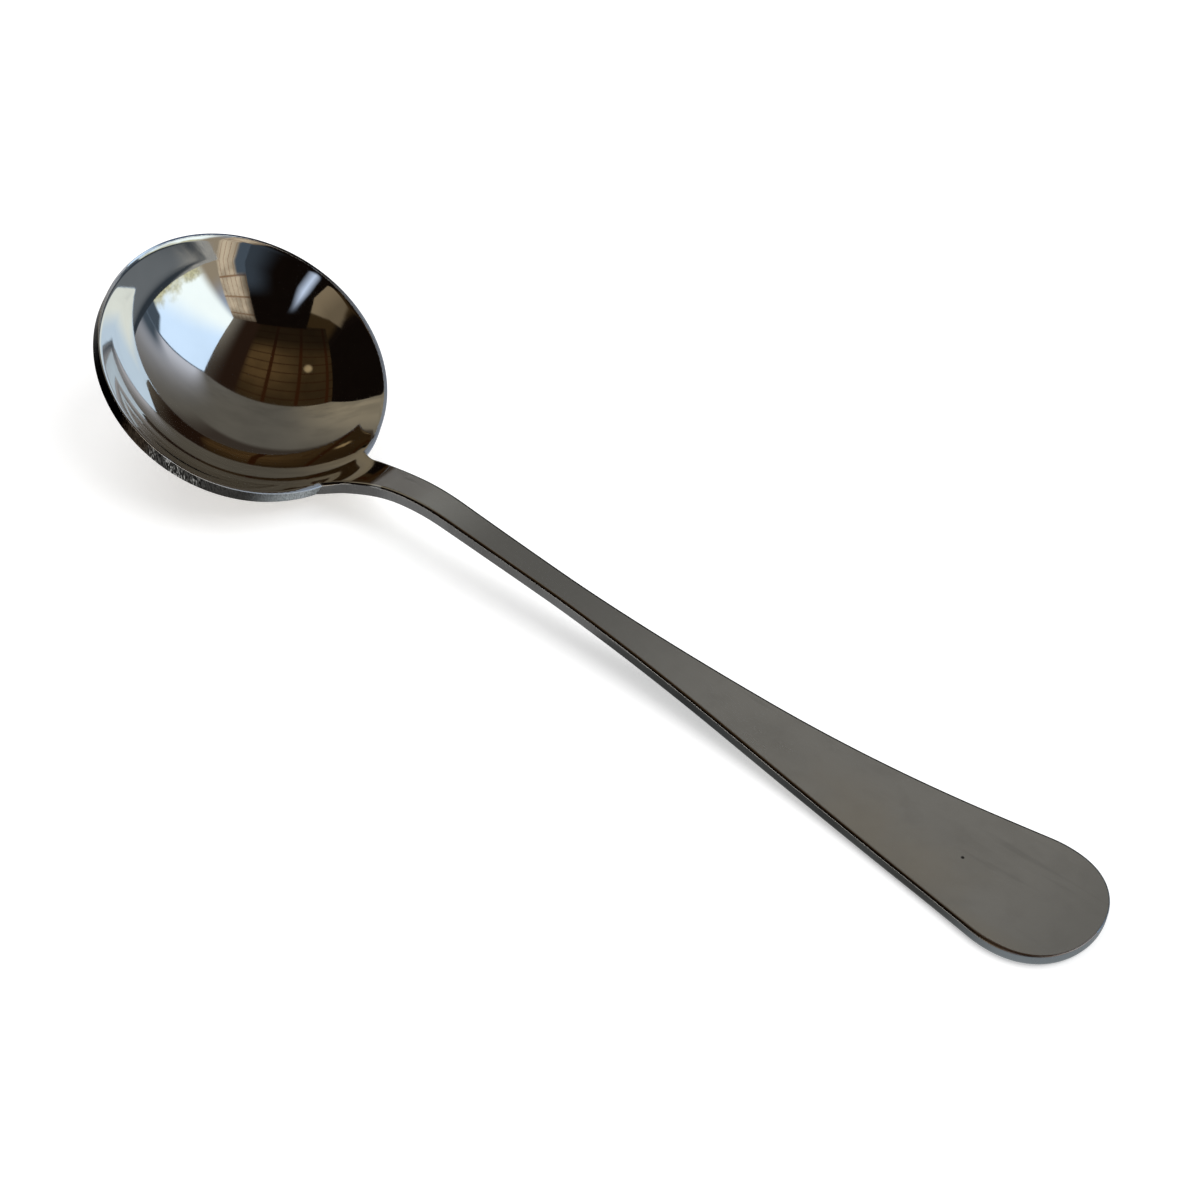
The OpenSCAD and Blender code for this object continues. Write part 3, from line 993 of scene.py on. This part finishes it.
class SPOON_OT_stage(bpy.types.Operator):
    """Builds the floor, the cards that the steel mirrors, the lamps and the camera"""
    bl_idname = "spoon.stage"
    bl_label = "Stage"

    # Metres from the bowl to the cards round it, and their turn from the spoon's length
    TOP, NORTH, EAST, SOUTH, WEST = 1.72, 0.40, 1.67, 1.50, 0.955
    TURN = math.radians(35.0)
    # Where the front card turns from ribbed to plain, and the west side from plain to dark
    FRONT_SPLIT, SIDE_SPLIT = 0.2, -0.9
    # The dark front card's two ends, and how far it stands before the front card
    DARK_EAST, DARK_WEST, DARK_BEFORE = 0.86, -0.42, 0.05
    # How far the bright card stands before the east, the top card's reach, and the low card's corner
    BRIGHT_BEFORE, TOP_REACH, LOW_CORNER = 0.01, 2.0, (0.045, -1.4)
    # Half the floor's width, and how far it and the low card lie below the spoon
    FLOOR_REACH, FLOOR_DROP, LOW_DROP = 4.0, 0.00002, 0.00001
    # Glow of the floor where it is seen, and strength of the world's light and of its seen white
    FLOOR_GLOW, WORLD_LIGHT, WORLD_SEEN = 0.35, 0.5, 1.0
    # Each lamp's name, azimuth and elevation in degrees, distance and size in metres, and watts
    LAMPS = (("key_lamp", 62.0, 58.0, 1.0, 0.9, 4.8), ("fill_lamp", -80.0, 65.0, 1.2, 1.0, 3.6))
    # Point that the camera aims at, its sensor's width in millimetres, and its nearest sight in metres
    AIM, SENSOR, NEAREST = Vector((-0.00093, 0.00675, 0.0014)), 36.0, 0.01

    def execute(self, context):
        self.look = context.scene.spoon_stage
        sphere = SpoonShape(context.scene.spoon_sizes).sphere
        self.centre = Vector((sphere.x, sphere.y, 0.0))
        self.add_floor()
        self.add_cards()
        self.add_lamps(context)
        self.add_world(context)
        self.add_camera(context)
        context.scene.view_settings.view_transform = "Standard"
        return {"FINISHED"}

    def seen_share(self, p):
        """1 for rays from the camera, off a mirror or through glass, 0 for the others."""
        path = p.node("ShaderNodeLightPath").outputs
        seen = p.most(path["Is Camera Ray"], path["Is Glossy Ray"])
        return p.most(seen, path["Is Transmission Ray"])

    def add_floor(self):
        p = Paint(bpy.data.materials.new("pale_floor"))
        matt = p.node("ShaderNodeBsdfDiffuse", {"Color": (*self.look.floor, 1.0)})
        glow = p.node("ShaderNodeEmission", {"Strength": p.times(self.seen_share(p), self.FLOOR_GLOW)})
        both = p.node("ShaderNodeAddShader", {0: matt.outputs[0], 1: glow.outputs[0]})
        p.node("ShaderNodeOutputMaterial", {"Surface": both.outputs[0]})
        r, z = self.FLOOR_REACH, -self.FLOOR_DROP
        flat_sheet("floor", [(-r, -r, z), (r, -r, z), (r, r, z), (-r, r, z)], p.owner)

    # Cards, placed by how far east, north and up they are from the bowl

    def spot(self, east, north, up):
        turned = Vector((math.cos(self.TURN) * east - math.sin(self.TURN) * north,
                         math.sin(self.TURN) * east + math.cos(self.TURN) * north, up))
        return self.centre + turned

    def standing(self, name, start, end, paint):
        """A standing card from one (east, north) to another, up to the top card."""
        corners = [self.spot(*start, 0.0), self.spot(*end, 0.0),
                   self.spot(*end, self.TOP), self.spot(*start, self.TOP)]
        add_card(name, corners, paint)

    def lying(self, name, start, end, up, paint):
        """A level card between two corners (east, north)."""
        corners = [self.spot(*start, up), self.spot(end[0], start[1], up),
                   self.spot(*end, up), self.spot(start[0], end[1], up)]
        add_card(name, corners, paint)

    def add_cards(self):
        north, east, south, west = self.NORTH, self.EAST, -self.SOUTH, -self.WEST
        bright = east - self.BRIGHT_BEFORE
        before = south + self.DARK_BEFORE
        reach = self.TOP_REACH
        self.standing("grey_back", (west, north), (east, north), self.paint_grey)
        self.standing("bright_side", (bright, north), (bright, south), self.paint_bright)
        self.standing("ribbed_front", (east, south), (self.FRONT_SPLIT, south), self.paint_front)
        self.standing("plain_front", (self.FRONT_SPLIT, south), (west, south), self.paint_plain)
        self.standing("dark_front", (self.DARK_EAST, before), (self.DARK_WEST, before),
                      self.paint_dark_front)
        self.standing("plain_side", (west, south), (west, self.SIDE_SPLIT), self.paint_plain)
        self.standing("dark_side", (west, self.SIDE_SPLIT), (west, north), self.paint_dark)
        self.lying("ribbed_top", (-reach, -reach), (reach, reach), self.TOP, self.paint_top)
        self.lying("low_grey", self.LOW_CORNER, (east, north), -self.LOW_DROP, self.paint_low)

    def on_card(self, p):
        """East, north and height of a card's point."""
        return p.axes(p.place_from(self.centre, (0.0, 0.0, self.TURN)))

    def paint_grey(self, p):
        """Warm at its west end, half lit at its east end, with a brown foot and a dark blue low corner."""
        look = self.look
        east, _, up = self.on_card(p)
        warm = p.mix(p.ramp(up, 0.6, 1.4, 0.0, 0.7), look.warm_card, at_level(look.warm_card, 0.62))
        grey = p.mix(p.ramp(east, -0.7, 0.0), warm, look.grey_card)
        grey = p.mix(p.ramp(p.cloud(4.0), 0.35, 0.7, 0.0, 0.35), grey, at_level(look.grey_card, 0.6))
        foot = p.times(p.ramp(east, 0.15, 0.35, 1.0, 0.0), p.ramp(up, 0.31, 0.36, 0.75, 0.0))
        grey = p.mix(foot, grey, look.brown_card)
        slope = p.less(up, p.times(east, 0.85))
        lit = p.times(p.ramp(east, 0.25, 1.5), p.ramp(slope, -0.05, 0.4, 1.0, 0.05))
        grey = p.mix(lit, grey, look.half_lit)
        corner = p.times(p.ramp(east, 0.75, 1.35), p.ramp(up, 0.24, 0.56, 1.0, 0.0))
        return p.mix(corner, grey, look.blue_card)

    def paint_bright(self, p):
        """Bluish by the grey card, whiter low and to the south, with a blotched foot and a slanting end."""
        look = self.look
        _, north, up = self.on_card(p)
        low = p.times(p.less(0.57, up), 0.55)
        pale = p.mix(p.ramp(p.less(low, north), 0.0, 0.65), look.bright_card, look.white_card)
        foot = p.add(up, p.ramp(p.cloud(5.0), 0.3, 0.7, 0.09, -0.09))
        blotch = p.mix(p.ramp(p.cloud(22.0), 0.35, 0.65), look.foot_card, at_level(look.foot_card, 0.68))
        pale = p.mix(p.ramp(foot, 0.0, 0.26), blotch, pale)
        slant = p.add(north, p.times(up, 0.32))
        beyond = p.mix(p.ramp(up, 0.3, 1.2), at_level(look.front_card, 0.5), at_level(look.lit_card, 0.5))
        pale = p.mix(p.ramp(slant, -0.82, -1.12), pale, beyond)
        rise = p.add(up, p.times(north, -0.7))
        corner = p.times(p.ramp(rise, 0.1, 0.2, 1.0, 0.0), p.ramp(north, 0.13, 0.19))
        pale = p.mix(corner, pale, look.blue_card)
        return p.mix(p.ramp(north, 0.362, 0.382), pale, at_level(look.blue_card, 1.5))

    def paint_dark(self, p):
        return p.mix(p.cloud(5.0), self.look.dark_card, at_level(self.look.dark_card, 0.6))

    def paint_dark_front(self, p):
        """Dark, bluish low in the east, with one soft slanting streak that fades upward."""
        look = self.look
        east, _, up = self.on_card(p)
        blue = p.times(p.ramp(east, 0.3, 0.8, 0.0, 0.55), p.ramp(up, 0.5, 0.95, 1.0, 0.0))
        dark = p.mix(blue, self.paint_dark(p), look.blue_card)
        slant = p.times(p.less(up, 0.73), -0.4)
        aside = p.maths("ABSOLUTE", p.add(p.add(east, 0.2), slant))
        streak = p.less(1.0, p.maths("DIVIDE", aside, p.ramp(up, 0.6, 1.1, 0.17, 0.1)))
        streak = p.times(p.most(streak, 0.0), p.ramp(up, 0.7, 1.3, 1.0, 0.0))
        return p.mix(streak, dark, look.lit_card)

    def paint_front(self, p):
        """Pale panels between reddish ribs, dimmer toward the top and the dark card, with a blue corner."""
        look = self.look
        east, _, up = self.on_card(p)
        ribs = p.most(p.on_lines(east, 0.13, 0.014), p.on_lines(p.add(up, 0.08), 0.52, 0.045))
        panel = p.mix(p.ramp(p.cloud(3.0), 0.35, 0.65), look.front_card, at_level(look.front_card, 0.65))
        panel = p.mix(p.times(ribs, 0.8), panel, look.front_lines)
        dim = p.most(p.ramp(east, 1.12, 0.9, 0.0, 0.75), p.ramp(up, 1.3, 1.72, 0.0, 0.8))
        panel = p.mix(dim, panel, look.brown_card)
        corner = p.times(p.ramp(east, 1.18, 1.08), p.ramp(up, 0.36, 0.5, 1.0, 0.0))
        return p.mix(corner, panel, look.blue_card)

    def paint_plain(self, p):
        """Plain, dimmer to the west, below a slanting dark top."""
        look = self.look
        east, north, up = self.on_card(p)
        plain = p.mix(p.ramp(east, -0.95, -0.45), at_level(look.plain_card, 0.65), look.plain_card)
        over = p.add(p.add(p.times(east, 0.36), p.times(north, 0.6)), up)
        top = p.mix(p.ramp(north, -1.3, -1.0), at_level(look.top_card, 0.35), look.dark_card)
        return p.mix(p.ramp(over, 0.14, 0.2), plain, top)

    def paint_top(self, p):
        """Brown panels between dark ribs, plain and lit toward the bright card, with one pale disc."""
        look = self.look
        east, north, _ = self.on_card(p)
        flat = p.flat(east, north)
        outward = p.ramp(p.distance(flat, (0.35, -0.4, 0.0)), 0.2, 0.85)
        panel = p.mix(outward, look.top_card, at_level(look.top_card, 0.42))
        panel = p.mix(p.ramp(p.cloud(2.0), 0.35, 0.68, 0.0, 0.3), panel, look.dark_card)
        thin = p.on_lines(p.add(north, 0.12), 0.187, 0.022)
        panel = p.mix(p.times(thin, 0.8), panel, look.top_lines)
        thick = p.on_lines(p.add(east, 0.285), 0.555, 0.065)
        panel = p.mix(thick, panel, at_level(look.top_lines, 1.3))
        panel = p.mix(p.ramp(north, -0.6, -1.1, 0.0, 0.7), panel, look.dark_card)
        panel = p.mix(p.ramp(east, 0.68, 0.85), panel, look.brown_card)
        lit = p.times(p.ramp(east, 1.1, 1.67), p.ramp(north, 0.3, -1.2, 0.25, 0.95))
        panel = p.mix(lit, panel, at_level(look.grey_card, 1.6))
        disc = p.ramp(p.distance(flat, (-0.44, -0.425, 0.0)), 0.04, 0.11, 1.0, 0.0)
        return p.mix(disc, panel, look.disc_card)

    def paint_low(self, p):
        """Dim and bluish beyond the bowl, lighter and blotched toward the handle."""
        look = self.look
        east, north, _ = self.on_card(p)
        turn = p.maths("ARCTAN2", p.times(north, -1.0), east)
        blotch = p.ramp(p.cloud(22.0), 0.35, 0.65, 0.3, 1.0)
        low = p.mix(p.times(p.ramp(turn, 0.12, 0.5), blotch), look.low_card, look.low_light)
        beyond = p.times(p.ramp(east, 0.1, 0.3, 0.0, 0.95), p.ramp(north, -0.3, -0.1))
        return p.mix(beyond, low, at_level(look.blue_card, 0.38))

    def add_lamps(self, context):
        for name, azimuth, elevation, away, size, power in self.LAMPS:
            light = bpy.data.lights.new(name, "AREA")
            light.shape = "DISK"
            light.size = size
            light.energy = power
            lamp = bpy.data.objects.new(name, light)
            a, e = math.radians(azimuth), math.radians(elevation)
            toward = Vector((math.sin(a) * math.cos(e), math.cos(a) * math.cos(e), math.sin(e)))
            turn = toward.to_track_quat("Z", "Y").to_matrix().to_4x4()
            lamp.matrix_world = Matrix.Translation(toward * away) @ turn
            lamp.visible_glossy = False
            lamp.visible_camera = False
            context.scene.collection.objects.link(lamp)

    def add_world(self, context):
        """An even white world, brighter where it is seen than where it lights."""
        p = Paint(bpy.data.worlds.new("soft_world"))
        strength = p.ramp(self.seen_share(p), 0.0, 1.0, self.WORLD_LIGHT, self.WORLD_SEEN)
        back = p.node("ShaderNodeBackground", {"Color": (1.0, 1.0, 1.0, 1.0), "Strength": strength})
        p.node("ShaderNodeOutputWorld", {"Surface": back.outputs[0]})
        context.scene.world = p.owner

    def add_camera(self, context):
        look = self.look
        azimuth, elevation = look.view_azimuth, look.view_elevation
        lean, stand = math.sin(look.view_roll), math.cos(look.view_roll)
        back = Vector((math.sin(azimuth) * math.cos(elevation), -math.cos(azimuth) * math.cos(elevation),
                       math.sin(elevation)))
        right = Vector((math.cos(azimuth), math.sin(azimuth), 0.0))
        over = back.cross(right)
        right, over = right * stand + over * lean, over * stand - right * lean
        camera = bpy.data.cameras.new("camera")
        camera.sensor_width = self.SENSOR
        camera.lens = look.view_lens
        camera.clip_start = self.NEAREST
        item = bpy.data.objects.new("camera", camera)
        turn = Matrix((right, over, back)).transposed().to_4x4()
        item.matrix_world = Matrix.Translation(self.AIM + back * look.view_distance) @ turn
        context.scene.collection.objects.link(item)
        context.scene.camera = item


class SPOON_PT_panel(bpy.types.Panel):
    """Lists the spoon's pieces and its sizes"""
    bl_idname = "SPOON_PT_panel"
    bl_label = "Cupping Spoon"
    bl_space_type = "VIEW_3D"
    bl_region_type = "UI"
    bl_category = "Spoon"

    def draw(self, context):
        layout = self.layout
        for operator in (SPOON_OT_bowl, SPOON_OT_handle, SPOON_OT_stage):
            layout.operator(operator.bl_idname)
        for group in (context.scene.spoon_sizes, context.scene.spoon_steel, context.scene.spoon_stage):
            box = layout.box()
            for name in group.__annotations__:
                box.prop(group, name)


CLASSES = (SpoonSizes, SteelColours, StageLook,
           SPOON_OT_bowl, SPOON_OT_handle, SPOON_OT_stage, SPOON_PT_panel)


def register():
    for item in CLASSES:
        bpy.utils.register_class(item)
    bpy.types.Scene.spoon_sizes = PointerProperty(type=SpoonSizes)
    bpy.types.Scene.spoon_steel = PointerProperty(type=SteelColours)
    bpy.types.Scene.spoon_stage = PointerProperty(type=StageLook)


def unregister():
    del bpy.types.Scene.spoon_stage
    del bpy.types.Scene.spoon_steel
    del bpy.types.Scene.spoon_sizes
    for item in reversed(CLASSES):
        bpy.utils.unregister_class(item)


def main():
    register()
    bpy.ops.spoon.bowl()
    bpy.ops.spoon.handle()
    bpy.ops.spoon.stage()


if __name__ == "__main__":
    main()
